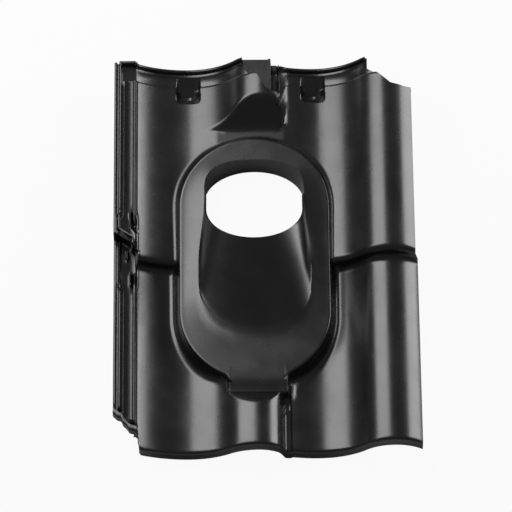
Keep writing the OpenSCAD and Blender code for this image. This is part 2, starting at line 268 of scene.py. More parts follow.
rows = [("head", drop) for drop in band["edgeDrops"]]
rows += [("upper", y) for y, drop in reversed(band["profile"])]
rows += [("upper", y) for run in rowRuns["upper"] for y in spread(*run)]
rows += [("edge", y, drop) for y, drop in rowRuns["edge"]]
rows += [("wall", share) for share in rowRuns["wall"]]
rows += [("foot", y, lift) for y, lift in rowRuns["foot"]]
rows += [("lower", y) for run in rowRuns["lower"] for y in spread(*run)]
rows += [("lip", dy, drop) for dy, drop in rowRuns["lip"]]

# Lines of the grid across the tile, closer at the lock, the lugs, the panel and the right edge
lines = [x for x, rise in lock["profile"]]
lines += [-198.6]
lines += spread(-196.0, -143.0, 3.8)
lines += [-142.2, -140.8, -139.6, -138.4, -137.0]
lines += spread(-134.6, -107.4, 3.6)
lines += [-105.0, -103.6, -102.4, -101.2, -99.8]
lines += spread(-97.4, -34.6, 3.2)
lines += [-34.6, -33.4]
lines += spread(-31.0, 6.6, 3.0)
lines += [6.6, 7.6, 10.4, 11.4, 12.4, 15.0, 18.0, 20.6, 21.8, 23.0, 24.2, 26.4, 28.6, 30.5, 31.5]
lines += spread(33.2, 57.0, 2.8)
lines += [57.8, 59.2, 60.4, 61.6, 63.0]
lines += spread(65.4, 93.6, 3.6)
lines += [95.0, 96.4, 97.6, 98.8, 100.2]
lines += spread(102.6, 123.0, 3.4)
lines += spread(123.0, 232.0, 3.3)
lines += [232.0, 234.5, 236.6, 238.0, 238.8, 239.0]
lines = np.array(lines)
inLock = lines < lock["edgeX"]
nearLock = lines < lock["edgeX"] + lock["reach"]
lockBlend = ease(lines, lock["edgeX"] + lock["blend"][0], lock["edgeX"] + lock["blend"][1])
print("grid", len(lines), "lines", len(rows), "rows")


def ribHeight(x, y, ribs):
    best = lockTurn["floor"] - lock["fall"] * np.clip(x - lock["fallX"], 0, lockTurn["floorSpan"])
    for path, half, height in ribs:
        gap = np.full(len(x), np.inf)
        for (ax, ay), (bx, by) in zip(path, path[1:]):
            length = (bx - ax) ** 2 + (by - ay) ** 2
            t = np.clip(((x - ax) * (bx - ax) + (y - ay) * (by - ay)) / length, 0, 1)
            gap = np.minimum(gap, np.hypot(x - ax - t * (bx - ax), y - ay - t * (by - ay)))
        crown = 1 - ease(gap, half - lockTurn["ribIn"], half + lockTurn["ribOut"])
        best = best + (height - best) * crown
    return best


def lockField(x, y, rise, ribs):
    # height of the lock: plain profile away from the turn, separate ribs in it
    front = along(x, lockTurn["front"])
    level = ease(y, front - lockTurn["frontSoft"], front + lockTurn["frontSoft"])
    upper = upperSlope(y)
    lower = lowerSlope(y)
    base = lower + (upper - lower) * level + lock["height"]
    if not ribs:
        return base + lock["under"]
    low = lockTurn["borderLow"]
    border = -low + (lockTurn["border"] + low) * ease(-x, *lockTurn["borderX"])
    turned = np.maximum(ribHeight(x, y, lockTurn["upperRibs"]) * level
                        + ribHeight(x, y, lockTurn["lowerRibs"]) * (1 - level), border)
    near = ease(y, *lockTurn["near"]) * (1 - ease(y, *lockTurn["far"]))
    return base + rise * (1 - near) + turned * near


def placeLines(y, upper):
    x = lines.copy()
    if not upper:
        return x
    wide = sheet["narrowX"]
    shrink = 1 - sheet["upperIn"] / (sheet["rightEdge"] - wide)
    x = np.where(lines > wide, wide + (lines - wide) * shrink, x)
    # end of the head band slants over to the corner of the roll
    over = band["slant"] * np.clip((band["slantTop"] - y) / band["slantTopRun"], 0.0, 1.0)
    over = over * np.clip((y - band["slantFoot"]) / band["slantFootRun"], 0.0, 1.0)
    x = x + np.interp(lines, band["slantLines"], [0, over, over, 0])
    edge = rollEdge(y) - parting["x"]
    return x + np.interp(lines, parting["bulgeLines"], [0, edge, edge, 0]) * ease(y, *parting["bulgeFrom"])


def placeUpper(row, base, x, y, ribs):
    kind = row[0]
    rise = along(lines, lock["profile"])
    # inner ribs stop short of the head, where the outer rib turns into a rim along it
    channel = float(ease(base, *lock["channelY"]))
    rim = float(ease(base, *lock["rimY"]))
    floor = lock["channelFloor"] - lock["fall"] * np.clip(lines - lock["fallX"], 0, lock["fallSpan"])
    rise = np.where(lines > lock["channelX"], rise * (1 - channel) + floor * channel, rise)
    rise = np.where(lines > lock["rimX"], rise * (1 - rim) + lock["rim"] * rim, rise)
    lip = along(lines, parting["lipShape"]) * ease(y, *parting["lipY"])
    z = upperZ(x, y, lines < parting["x"]) + parting["lip"] * lip
    if kind == "edge":
        z = z - row[2]
    z = np.where(nearLock, lockField(x, y, rise, ribs) * (1 - lockBlend) + z * lockBlend, z)
    if kind == "edge":
        return z
    beyond = (lines > panel["fromX"]) & (lines < parting["x"]) & (base > band["y"] + panel["reachY"])
    onColumn = lines > panel["columnX"]
    inGroove = (lines > panel["grooveX"]) & ~onColumn
    grooveZ = panel["groove"] + panel["grooveRim"] * float(ease(base, *panel["rimY"]))
    height = np.where(inGroove, grooveZ, along(lines, panel["top"]))
    height = np.where(onColumn, plainColumn(x - rightX), height)
    drop = along(np.where(onColumn, y, base), band["profile"])
    drop = np.where(beyond & ~onColumn, panel["endDrop"] if base > panel["endY"] else 0.0, drop)
    lockDrop = max(0.0, base - lock["headY"]) * lock["headFall"]
    drop = np.where(nearLock, drop * lockBlend + (1 - lockBlend) * lockDrop, drop)
    z = np.where(beyond, upperSlope(y) + height, z) - drop
    if kind == "head":
        lockShare = lock["headShare"] if ribs else 0.0
        z = z - (row[1] - band["profile"][-1][1]) * np.where(inLock, lockShare, 1.0)
    return z


def placeLower(row, base, x, y, ribs):
    kind = row[0]
    toEave = base - sheet["eaveY"]
    inside = float(ease(toEave, *lock["eaveInside"]))
    rim = 1 - float(ease(toEave, *lock["eaveRimRun"]))
    rise = along(lines, lock["profile"]) * inside + lock["eaveFloor"] * (1 - inside)
    rise = rise * (1 - rim) + lock["eaveRim"] * rim
    z = lowerZ(x, y)
    if kind == "foot":
        z = z + row[2]
    z = np.where(nearLock, lockField(x, y, rise, ribs) * (1 - lockBlend) + z * lockBlend, z)
    if kind == "lip":
        lockShare = lock["lipShare"] if ribs else lock["underLipShare"]
        z = z - row[2] * np.where(inLock, lockShare, 1.0)
    return z


def placeRow(row, ribs):
    kind = row[0]
    upper = kind in ("head", "upper", "edge")
    base = sheet["headY"] if kind == "head" else row[1]
    if kind == "lip":
        base = sheet["eaveY"] + row[1]
    y = np.full(len(lines), base)
    if kind in ("upper", "head"):
        cut = np.where(lines > band["cutFromX"], along(lines, band["cut"]) - band["y"], 0.0)
        cut = cut * (1 - ease(lines, *band["cutFade"]))
        grow = np.clip((base - band["cutFromY"]) / (band["y"] - band["cutFromY"]), 0, 1)
        y = y + cut * grow * np.clip((sheet["headY"] - base) / (sheet["headY"] - band["y"]), 0, 1)
    turn = float(ease(base, *lockTurn["shearFrom"])) * (1 - float(ease(base, *lockTurn["shearTo"])))
    y = y + along(lines, lockTurn["shear"]) * turn
    y = y + along(lines, lock["eaveCut"]) * np.clip((lock["eaveCutY"] - base) / lock["eaveCutRun"], 0, 1)
    x = placeLines(base, upper)
    if kind in ("upper", "head"):
        y = np.minimum(y, along(x, band["rightCut"]))
    z = placeUpper(row, base, x, y, ribs) if upper else placeLower(row, base, x, y, ribs)
    return np.stack([x, y, z], axis=1)


def layGrid(ribs):
    placed = [None if row[0] == "wall" else placeRow(row, ribs) for row in rows]
    last = max(i for i, row in enumerate(rows) if row[0] == "edge")
    first = min(i for i, row in enumerate(rows) if row[0] == "foot")
    for i, row in enumerate(rows):
        if row[0] == "wall":
            placed[i] = placed[last] * (1 - row[1]) + placed[first] * row[1]
    return np.array(placed)


# Hanging lugs: open pockets with a ramp in front, a short tongue on it and a floor that rises behind
lugs = {
    "y": 296.0, "halfW": 20.0, "halfL": 24.5, "corner": 8.0, "floor": 4.4, "wall": 5.5,
    "rampY": [271.0, 276.0, 288.6, 291.4], "rampDepth": [3.0, 7.0, 13.0, 40.0],
    "tongue": 4.0, "tongueX": 4.0, "tongueY": 287.0, "tongueW": 5.0, "tongueL": 3.5, "backSlope": 0.55,
}


def sinkLugs(points, backSlope):
    x, y, z = points[..., 0], points[..., 1], points[..., 2]
    for middle in (sheet["troughX"], rightX):
        qx = np.abs(x - middle) - lugs["halfW"] + lugs["corner"]
        qy = np.abs(y - lugs["y"]) - lugs["halfL"] + lugs["corner"]
        inside = ease(-roundedBox(qx, qy, lugs["corner"]), 0.0, lugs["wall"])
        depth = np.interp(y, lugs["rampY"], lugs["rampDepth"])
        tongue = np.exp(-((x - middle - lugs["tongueX"]) / lugs["tongueW"]) ** 2
                        - ((y - lugs["tongueY"]) / lugs["tongueL"]) ** 2)
        bottom = lugs["floor"] + backSlope * np.maximum(y - lugs["rampY"][3], 0.0)
        floor = np.maximum(bottom, z - depth + lugs["tongue"] * tongue)
        z = z * (1 - inside) + np.minimum(z, floor) * inside
    points[..., 2] = z
    return points


def surfaceNormals(points, closed):
    if closed:
        du = np.roll(points, -1, axis=1) - np.roll(points, 1, axis=1)
    else:
        du = np.gradient(points, axis=1)
    dv = np.gradient(points, axis=0)
    n = np.cross(dv, du)
    size = np.linalg.norm(n, axis=2, keepdims=True)
    return np.where(size > 1e-9, n / np.maximum(size, 1e-9), np.array([0.0, 0.0, 1.0]))


top = sinkLugs(layGrid(True), lugs["backSlope"])
plain = sinkLugs(layGrid(False), 0.0)
normals = surfaceNormals(plain, False)
if normals[len(rows) // 2, len(lines) // 2, 2] < 0:
    normals = -normals
normals[:, inLock, 0] = 0.0  # the lock is offset without moving sideways
normals /= np.maximum(np.linalg.norm(normals, axis=2, keepdims=True), lock["leastNormal"])
under = plain - normals * sheet["wall"]
print("sheet", top.shape[0] * top.shape[1], "points")

# Platform: a stadium with a spout at the eave side, its skirt running out over the sheet
platform = {
    "x": -17.0, "r": 118.0, "back": 79.0, "front": -103.0, "z": 51.0,
    "spoutX": -14.0, "spoutW": 91.0, "spoutY": -241.0, "spoutCorner": 4.0, "spoutBlend": 8.0,
    "spoutDip": 4.0, "dipY": -214.0,
    "draft": 74.0, "footR": 14.0, "footShare": 0.9, "footLeast": 0.5,
    "lens": 37.0, "lensRound": 3.0, "reach": 22.0, "lensReach": 9.0, "lensY": (205.0, 235.0),
    "skirtGaps": (19.5, 17, 14.8, 12.8, 11, 9.4, 8, 6.8, 5.7, 4.7, 3.8, 3.0, 2.2, 1.5, 0.9, 0.4),
    "edge": ((0.0, 0.9), (0.7, 0.35), (1.5, 0.08), (3.0, 0.0)),      # inset, drop
    "plateSteps": (0.03, 0.08, 0.14, 0.22, 0.4, 0.6, 0.8, 0.88, 0.95),
    "sideRise": 4.5, "riseIn": (0.12, 0.40), "riseOut": (0.56, 0.92),
}

# Fitting of the platform to the sheet: where its opening is looked for, and rounds of evening out
fitting = {
    "insideX": 200.0, "insideY": 290.0, "startY": 215.0,  # keeps to the opening, not the tile's own edge
    "middleY": -60.0, "rayLength": 400.0, "raySteps": 50, "curvePoints": 1600,
    "snapSteps": 12, "slopeStep": 0.05,
    "freeRun": 40.0, "runRounds": 60, "evenRun": 20.0, "shareRounds": 300,
}


def outlineGap(x, y):
    # distance from the platform's outline, positive outside
    cy = np.clip(y, platform["front"], platform["back"])
    stadium = np.hypot(x - platform["x"], y - cy) - platform["r"]
    corner = platform["spoutCorner"]
    back = platform["front"] - platform["r"] / 2
    qx = np.abs(x - platform["spoutX"]) - platform["spoutW"] / 2 + corner
    qy = np.abs(y - (back + platform["spoutY"]) / 2) - (back - platform["spoutY"]) / 2 + corner
    return softMin(stadium, roundedBox(qx, qy, corner), platform["spoutBlend"])


def outlineSlope(x, y):
    e = fitting["slopeStep"]
    gx = (outlineGap(x + e, y) - outlineGap(x - e, y)) / (2 * e)
    gy = (outlineGap(x, y + e) - outlineGap(x, y - e)) / (2 * e)
    size = np.maximum(np.hypot(gx, gy), 1e-6)
    return gx / size, gy / size


def snapTo(x, y, target):
    for _ in range(fitting["snapSteps"]):
        gap = outlineGap(x, y) - target
        gx, gy = outlineSlope(x, y)
        x, y = x - gap * gx, y - gap * gy
    return x, y


def outlineCurve(count):
    # the outline as evenly spaced points, found along rays from a point inside it
    angle = np.linspace(0, 2 * math.pi, 4 * count, endpoint=False)
    near = np.zeros(len(angle))
    far = np.full(len(angle), fitting["rayLength"])
    cx, cy = platform["spoutX"], fitting["middleY"]
    for _ in range(fitting["raySteps"]):
        mid = (near + far) / 2
        out = outlineGap(cx + mid * np.cos(angle), cy + mid * np.sin(angle)) > 0
        far, near = np.where(out, mid, far), np.where(out, near, mid)
    x, y = cx + near * np.cos(angle), cy + near * np.sin(angle)
    x, y = np.append(x, x[0]), np.append(y, y[0])
    run = np.concatenate([[0], np.cumsum(np.hypot(np.diff(x), np.diff(y)))])
    at = np.linspace(0, run[-1], count, endpoint=False)
    return np.interp(at, run, x), np.interp(at, run, y), run[-1]


def reachAt(y):
    return platform["reach"] + platform["lensReach"] * ease(-y, *platform["lensY"])


def sheetAt(x, y):
    return np.where(y > sheet["stepY"], upperZ(x, y), lowerZ(x, y))


def edgeLoop(start):
    found, previous, current = [], None, start
    while True:
        found.append(current)
        following = [e.other_vert(current) for e in current.link_edges if e.is_boundary]
        following = [v for v in following if v is not previous]
        previous, current = current, following[0]
        if current is start:
            return found


# Upper surface as a grid, each vertex carrying its place on the underside
bm = bmesh.new()
underLayer = bm.verts.layers.float_vector.new("under")
rowLayer = bm.verts.layers.int.new("row")
bmesh.ops.create_grid(bm, x_segments=len(lines) - 1, y_segments=len(rows) - 1, size=1.0)
ordered = sorted(bm.verts, key=lambda v: (-round(v.co.y, 5), round(v.co.x, 5)))
print("grid vertices", len(ordered), "wanted", len(lines) * len(rows))
for index, v in enumerate(ordered):
    j, i = divmod(index, len(lines))
    v.co = top[j, i]
    v[underLayer] = under[j, i]
    v[rowLayer] = j

# opening for the platform
covered = []
for f in bm.faces:
    c = f.calc_center_median()
    if outlineGap(c.x, c.y) < reachAt(c.y):
        covered.append(f)
bmesh.ops.delete(bm, geom=covered, context="FACES")
boundary = [v for v in bm.verts if v.is_boundary]
inTile = [v for v in boundary if abs(v.co.x) < fitting["insideX"] and abs(v.co.y) < fitting["insideY"]]
startVert = min(inTile, key=lambda v: abs(v.co.x - platform["x"]) + abs(v.co.y - fitting["startY"]))
loop = edgeLoop(startVert)
area = sum(a.co.x * b.co.y - b.co.x * a.co.y for a, b in zip(loop, loop[1:] + loop[:1]))
if area < 0:
    loop.reverse()
print("platform opening", len(loop), "vertices")

loopX = np.array([v.co.x for v in loop])
loopY = np.array([v.co.y for v in loop])
loopRow = np.array([v[rowLayer] for v in loop])
straight = (loopY < platform["back"]) & (loopY > platform["front"])
loopSide = np.sign(loopX - platform["x"])
snapX, snapY = snapTo(loopX.copy(), loopY.copy(), reachAt(loopY))
loopX = np.where(straight, loopSide * (platform["r"] + platform["reach"]) + platform["x"], snapX)
loopY = np.where(straight, loopY, snapY)
for v, x, y, keep in zip(loop, loopX, loopY, straight):
    if not keep:
        v.co = (x, y, float(sheetAt(x, y)))
        v[underLayer] = (x, y, float(sheetAt(x, y)) - sheet["wall"])

# each opening vertex has its place on the outline
curveX, curveY, curveLength = outlineCurve(fitting["curvePoints"])
nearest = [int(np.argmin((curveX - x) ** 2 + (curveY - y) ** 2)) for x, y in zip(loopX, loopY)]
position = np.array(nearest) * curveLength / len(curveX)
turn = np.diff(np.append(position, position[0]))
turn = (turn + curveLength / 2) % curveLength - curveLength / 2
run = position[0] + np.concatenate([[0], np.cumsum(turn)[:-1]])
free = loopY < platform["front"] - fitting["freeRun"]
for _ in range(fitting["runRounds"]):
    smooth = (np.roll(run, 1) + np.roll(run, -1)) / 2
    smooth[0], smooth[-1] = run[0], run[-1]
    run = np.where(free, smooth, run)
curveRun = np.linspace(0, curveLength, len(curveX) + 1)
outX = np.interp(run % curveLength, curveRun, np.append(curveX, curveX[0]))
outY = np.interp(run % curveLength, curveRun, np.append(curveY, curveY[0]))
sideX = np.sign(loopX - platform["x"]) * platform["r"] + platform["x"]
outX = np.where(straight, sideX, outX)
outY = np.where(straight, loopY, outY)


def plateZ(y):
    return platform["z"] - platform["spoutDip"] * ease(-y, -platform["dipY"], -platform["spoutY"])


def rowHeight(x, k):
    # height of the sheet on the row of loop vertex k, at another x
    row = rows[loopRow[k]]
    kind = row[0]
    if kind == "upper":
        return float(upperZ(x, row[1]))
    if kind == "edge":
        return float(upperZ(x, row[1])) - row[2]
    if kind == "lower":
        return float(lowerZ(x, row[1]))
    if kind == "foot":
        return float(lowerZ(x, row[1])) + row[2]
    edgeY, edgeDrop = rowRuns["edge"][-1]
    footY, footLift = rowRuns["foot"][0]
    above = float(upperZ(x, edgeY)) - edgeDrop
    below = float(lowerZ(x, footY)) + footLift
    return above * (1 - row[1]) + below * row[1]


def skirtRing(gap):
    # draft wall of the platform with a rounded foot, cut back by the lens at the spout
    t = 1 - gap / platform["reach"]
    x = loopX + (outX - loopX) * t
    y = loopY + (outY - loopY) * t
    base = sheetAt(x, y)
    base = np.array([rowHeight(x[k], k) if straight[k] else base[k] for k in range(len(x))])
    d = np.maximum(outlineGap(x, y), 0)
    plate = plateZ(y)
    height = plate - base
    draft = math.radians(platform["draft"])
    slope = math.tan(draft)
    r = np.clip(height * platform["footShare"], platform["footLeast"], platform["footR"])
    wallFoot = np.maximum(height, 0) / slope
    offset = wallFoot + r * math.tan(math.radians(platform["draft"] / 2)) - d
    arc = r - np.sqrt(np.maximum(r * r - np.clip(offset, 0, None) ** 2, 0))
    wall = (wallFoot - d) * slope
    lift = np.where(offset <= 0, 0, np.where(offset < r * math.sin(draft), arc, wall))
    z = base + np.where(height > 0, lift, 0)
    cut = plate + d * math.tan(math.radians(platform["lens"]))
    return np.stack([x, y, softMin(z, cut, platform["lensRound"])], axis=1)


rings = [np.stack([loopX, loopY, [v.co.z for v in loop]], axis=1)]
for gap in platform["skirtGaps"]:
    rings.append(skirtRing(gap))
gradX, gradY = outlineSlope(outX, outY)
for inset, drop in platform["edge"]:
    x = outX - gradX * inset
    y = outY - gradY * inset
    rings.append(np.stack([x, y, plateZ(y) - drop], axis=1))
plateStart = len(rings) - 1
plateEdge = rings[plateStart]

# Pipe stub: it leans out of the plate in front, and the opening's edge turns down behind
stub = {
    "half": 79.0, "footR": 89.0, "footY": -46.0, "footBend": 0.86, "flareY": (-96.0, 30.0),
    "blendLift": 2.8, "blendReach": 24.0, "blendShare": (0.70, 0.88),
    "meetY": 104.0, "lean": 29.0, "run": 46.0, "openY": 160.0, "openL": 54.0, "openBend": 0.74,
    "apron": 46.0, "apronY": (0.5, 12.0),
    "backShare": 0.34, "sideShare": 0.68, "sideEndY": -30.0,   # shares of the way from back to front
    "fillet": 1.6, "filletShare": 0.06, "filletFull": 20.0, "flat": (3.0, 12.0),
    "steps": (0.0, 0.015, 0.04, 0.1, 0.3, 0.5, 0.7, 0.88, 0.96, 1.0), "curveSteps": 240,
}
openBase = stub["openY"] - stub["openL"]


def bent(degrees, power):
    a = math.radians(degrees)
    return max(math.cos(a), 0.0) ** power, max(math.sin(a), 0.0) ** power


def footCurve():
    # right half of the plate's inner edge, from the back centre to the front centre
    points = []
    steps = stub["curveSteps"]
    for degrees in np.linspace(90, 0, steps, endpoint=False):
        c, t = bent(degrees, stub["openBend"])
        points.append([stub["half"] * c, openBase + stub["openL"] * t])
    for y in np.linspace(openBase, stub["footY"], steps, endpoint=False):
        flare = float(ease(-y, *stub["flareY"]))
        points.append([stub["half"] + (stub["footR"] - stub["half"]) * flare, y])
    for degrees in np.linspace(0, 90, steps + 1):
        c, t = bent(degrees, stub["footBend"])
        points.append([stub["footR"] * c, stub["footY"] - stub["footR"] * t])
    return np.array(points)


def rimCurve():
    # rim of the stub on its leaning plane, from where it meets the plate to its front
    lean = math.radians(stub["lean"])
    half = stub["half"]
    steps = stub["curveSteps"]
    flat = [[half, y] for y in np.linspace(0, -stub["run"], steps // 2, endpoint=False)]
    for degrees in np.linspace(0, -90, steps + 1):
        a = math.radians(degrees)
        flat.append([half * math.cos(a), -stub["run"] + half * math.sin(a)])
    flat = np.array(flat)
    return np.stack([flat[:, 0], stub["meetY"] + flat[:, 1] * math.cos(lean),
                     platform["z"] - flat[:, 1] * math.sin(lean)], axis=1)


def runOf(points):
    return np.concatenate([[0], np.cumsum(np.linalg.norm(np.diff(points, axis=0), axis=1))])


foot = footCurve()
footRun = runOf(foot)
meetAt = float(np.interp(-stub["meetY"], -foot[:, 1], footRun))

# share of the way from the back centre to the front centre, tied to the ends of the straight sides
relX = outX - platform["x"]
backShare, sideShare = stub["backShare"], stub["sideShare"]
share = []
for px, py in zip(relX, outY):
    if py > platform["back"]:
        angle = math.atan2(py - platform["back"], abs(px))
        share.append(backShare * (1 - angle / (math.pi / 2)))
    elif py > platform["front"]:
        part = (platform["back"] - py) / (platform["back"] - platform["front"])
        share.append(backShare + (sideShare - backShare) * part)
    else:
        angle = math.atan2(platform["front"] - py, abs(px))
        share.append(sideShare + (1 - sideShare) * angle / (math.pi / 2))
share = np.array(share)

# the front is evened out across its centre, where the share runs on past 1
toFront = outY < platform["front"] - fitting["evenRun"]
evened = np.where(relX >= 0, share, 2.0 - share)
order = np.argsort(np.where(toFront, evened, np.inf))[:int(toFront.sum())]
for _ in range(fitting["shareRounds"]):
    part = evened[order]
    part[1:-1] = (part[:-2] + part[2:]) / 2
    evened[order] = part
share = np.where(evened <= 1.0, evened, 2.0 - evened)
sideSign = np.where(toFront, np.where(evened <= 1.0, 1.0, -1.0), np.where(relX >= 0, 1.0, -1.0))
sideBack = float(np.interp(-platform["back"], -foot[:, 1], footRun))
sideFront = float(np.interp(-stub["sideEndY"], -foot[:, 1], footRun))
footPos = np.interp(share, [0, backShare, sideShare, 1.0], [0, sideBack, sideFront, footRun[-1]])
footX = np.interp(footPos, footRun, foot[:, 0]) * sideSign + platform["x"]
footY = np.interp(footPos, footRun, foot[:, 1])
sideWeight = ease(share, *platform["riseIn"]) * (1 - ease(share, *platform["riseOut"]))
frontWeight = ease(share, *stub["blendShare"])


def frontBlend(distance):
    # the stub's front runs softly into the plate
    return stub["blendLift"] * frontWeight * np.clip(1 - distance / stub["blendReach"], 0, 1) ** 2


for t in platform["plateSteps"]:
    x = plateEdge[:, 0] * (1 - t) + footX * t
    y = plateEdge[:, 1] * (1 - t) + footY * t
    rise = platform["sideRise"] * sideWeight * t ** 2 + frontBlend(np.hypot(footX - x, footY - y))
    rings.append(np.stack([x, y, plateZ(y) + rise], axis=1))
footZ = platform["z"] + platform["sideRise"] * sideWeight

# far end of the stub's wall: its rim in front, an oval lower edge behind
rim = rimCurve()
rimRun = runOf(rim)
rimPos = np.clip((footPos - meetAt) / (footRun[-1] - meetAt), 0, 1) * rimRun[-1]
rimX = np.interp(rimPos, rimRun, rim[:, 0]) * sideSign + platform["x"]
acrossOpen = np.clip(np.abs(footX - platform["x"]) / stub["half"], 0, 1) ** (1 / stub["openBend"])
alongOpen = np.clip((footY - openBase) / stub["openL"], 0, 1) ** (1 / stub["openBend"])
ovalX = platform["x"] + sideSign * stub["half"] * acrossOpen
ovalY = np.where(footY > openBase, openBase + stub["openL"] * alongOpen, footY)
depth = stub["apron"] * ease(footY, stub["meetY"] + stub["apronY"][0], stub["meetY"] + stub["apronY"][1])
behind = footPos < meetAt
endX = np.where(behind, ovalX, rimX)
endY = np.where(behind, ovalY, np.interp(rimPos, rimRun, rim[:, 1]))
endZ = np.where(behind, platform["z"] - depth, np.interp(rimPos, rimRun, rim[:, 2]))
wallLength = np.sqrt((endX - footX) ** 2 + (endY - footY) ** 2 + (endZ - footZ) ** 2)
rising = np.clip((endZ - footZ) / stub["filletFull"], 0, 1) * np.where(behind, 0.0, 1.0) * (1 - frontWeight)
for t in stub["steps"]:
    x = footX + (endX - footX) * t
    y = footY + (endY - footY) * t
    z = footZ + (endZ - footZ) * t + frontBlend(t * wallLength)
    if t > 0:
        z = z + stub["fillet"] * max(0.0, 1 - t / stub["filletShare"]) ** 2 * rising
    rings.append(np.stack([x, y, z], axis=1))
rings = np.array(rings)

ringNormals = surfaceNormals(rings, True)
if ringNormals[plateStart + 2, :, 2].mean() < 0:
    ringNormals = -ringNormals
# where the stub has no height its rings lie on one another: plain downward offset
flat = (1 - ease(wallLength, *stub["flat"]))[:, None]
for k in range(len(rings) - len(stub["steps"]), len(rings)):
    ringNormals[k] = ringNormals[k] * (1 - flat) + np.array([0.0, 0.0, 1.0]) * flat
ringUnder = rings - ringNormals * sheet["wall"]

current = loop
for k in range(1, len(rings)):
    edges = []
    for a, b in zip(current, current[1:] + current[:1]):
        edges.append(next(e for e in a.link_edges if e.other_vert(a) is b))
    made = bmesh.ops.extrude_edge_only(bm, edges=edges)["geom"]
    fresh = {g for g in made if isinstance(g, bmesh.types.BMVert)}
    following = [next(e.other_vert(v) for e in v.link_edges if e.other_vert(v) in fresh) for v in current]
    for v, p, q in zip(following, rings[k], ringUnder[k]):
        v.co = p
        v[underLayer] = q
    current = following
print("platform and stub", len(rings), "rings")

# Wall of the moulding: the surface is doubled, and its copy goes to the underside
shellEdge = {"sharp": 48.0, "inside": 0.02, "merge": 0.01}
bmesh.ops.dissolve_degenerate(bm, dist=shellEdge["merge"], edges=bm.edges)
low, high = [np.array(c) / mm for c in cadBox]
shell = bmesh.ops.extrude_face_region(bm, geom=list(bm.faces), use_keep_orig=True)["geom"]
for v in [g for g in shell if isinstance(g, bmesh.types.BMVert)]:
    v.co = v[underLayer]
for v in bm.verts:
    v.co = np.clip(np.array(v.co), low + shellEdge["inside"], high - shellEdge["inside"]) * mm
bmesh.ops.recalc_face_normals(bm, faces=bm.faces)
for e in bm.edges:
    e.smooth = not (len(e.link_faces) == 2 and e.calc_face_angle(0) > math.radians(shellEdge["sharp"]))
for f in bm.faces:
    f.smooth = True
skinMesh = bpy.data.meshes.new("tile_skin")
bm.to_mesh(skinMesh)
bm.free()
skin = bpy.data.objects.new("tile_skin", skinMesh)
bpy.context.scene.collection.objects.link(skin)
print("skin", sum(len(f.vertices) - 2 for f in skinMesh.polygons), "triangles")

# Satin black plastic, with fine moulded grain
finish = {
    "colour": (0.007, 0.007, 0.0071, 1.0), "dust": (0.014, 0.0137, 0.013, 1.0), "ior": 1.75,
    "dustFrom": 0.45, "dustTo": 0.9, "dustShare": 0.5,
    "roughLow": 0.23, "roughHigh": 0.30, "roughFrom": 0.3, "roughTo": 0.7,
    "grainScale": 900.0, "grainDetail": 3.0, "grainDepth": 0.00002, "grainStrength": 0.35,
    "cloudScale": 22.0, "cloudDetail": 4.0,
}


def mouldGrain():
    group = bpy.data.node_groups.new("mouldGrain", "ShaderNodeTree")
    scale = group.interface.new_socket("Scale", in_out="INPUT", socket_type="NodeSocketFloat")
    scale.default_value = finish["grainScale"]
    for name in ("Grain", "Cloud"):
        group.interface.new_socket(name, in_out="OUTPUT", socket_type="NodeSocketFloat")
    nodes, links = group.nodes, group.links
    start = nodes.new("NodeGroupInput")
    end = nodes.new("NodeGroupOutput")
    coords = nodes.new("ShaderNodeTexCoord")
    grain = nodes.new("ShaderNodeTexNoise")
    grain.inputs["Detail"].default_value = finish["grainDetail"]
    cloud = nodes.new("ShaderNodeTexNoise")
    cloud.inputs["Scale"].default_value = finish["cloudScale"]
    cloud.inputs["Detail"].default_value = finish["cloudDetail"]
    links.new(coords.outputs["Object"], grain.inputs["Vector"])
    links.new(coords.outputs["Object"], cloud.inputs["Vector"])
    links.new(start.outputs["Scale"], grain.inputs["Scale"])
    links.new(grain.outputs["Fac"], end.inputs["Grain"])
    links.new(cloud.outputs["Fac"], end.inputs["Cloud"])
    return group


def blackPlastic():
    material = bpy.data.materials.new("black_plastic")
    material.use_nodes = True
    nodes, links = material.node_tree.nodes, material.node_tree.links
    shader = nodes["Principled BSDF"]
    shader.inputs["IOR"].default_value = finish["ior"]
    texture = nodes.new("ShaderNodeGroup")
    texture.node_tree = mouldGrain()
    texture.inputs["Scale"].default_value = finish["grainScale"]
    colour = nodes.new("ShaderNodeMix")
    colour.data_type = "RGBA"
    colour.inputs["A"].default_value = finish["colour"]
    colour.inputs["B"].default_value = finish["dust"]
    faint = nodes.new("ShaderNodeMapRange")
    faint.inputs["From Min"].default_value = finish["dustFrom"]
    faint.inputs["From Max"].default_value = finish["dustTo"]
    faint.inputs["To Max"].default_value = finish["dustShare"]
    rough = nodes.new("ShaderNodeMapRange")
    rough.inputs["From Min"].default_value = finish["roughFrom"]
    rough.inputs["From Max"].default_value = finish["roughTo"]
    rough.inputs["To Min"].default_value = finish["roughLow"]
    rough.inputs["To Max"].default_value = finish["roughHigh"]
    bump = nodes.new("ShaderNodeBump")
    bump.inputs["Strength"].default_value = finish["grainStrength"]
    bump.inputs["Distance"].default_value = finish["grainDepth"]
    links.new(texture.outputs["Cloud"], faint.inputs["Value"])
    links.new(faint.outputs["Result"], colour.inputs["Factor"])
    links.new(colour.outputs["Result"], shader.inputs["Base Color"])
    links.new(texture.outputs["Cloud"], rough.inputs["Value"])
    links.new(rough.outputs["Result"], shader.inputs["Roughness"])
    links.new(texture.outputs["Grain"], bump.inputs["Height"])
    links.new(bump.outputs["Normal"], shader.inputs["Normal"])
    return material


skinMesh.materials.append(blackPlastic())
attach(skin, "root")
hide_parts("pass_through_tile")
print("finish", len(skinMesh.materials), "material")

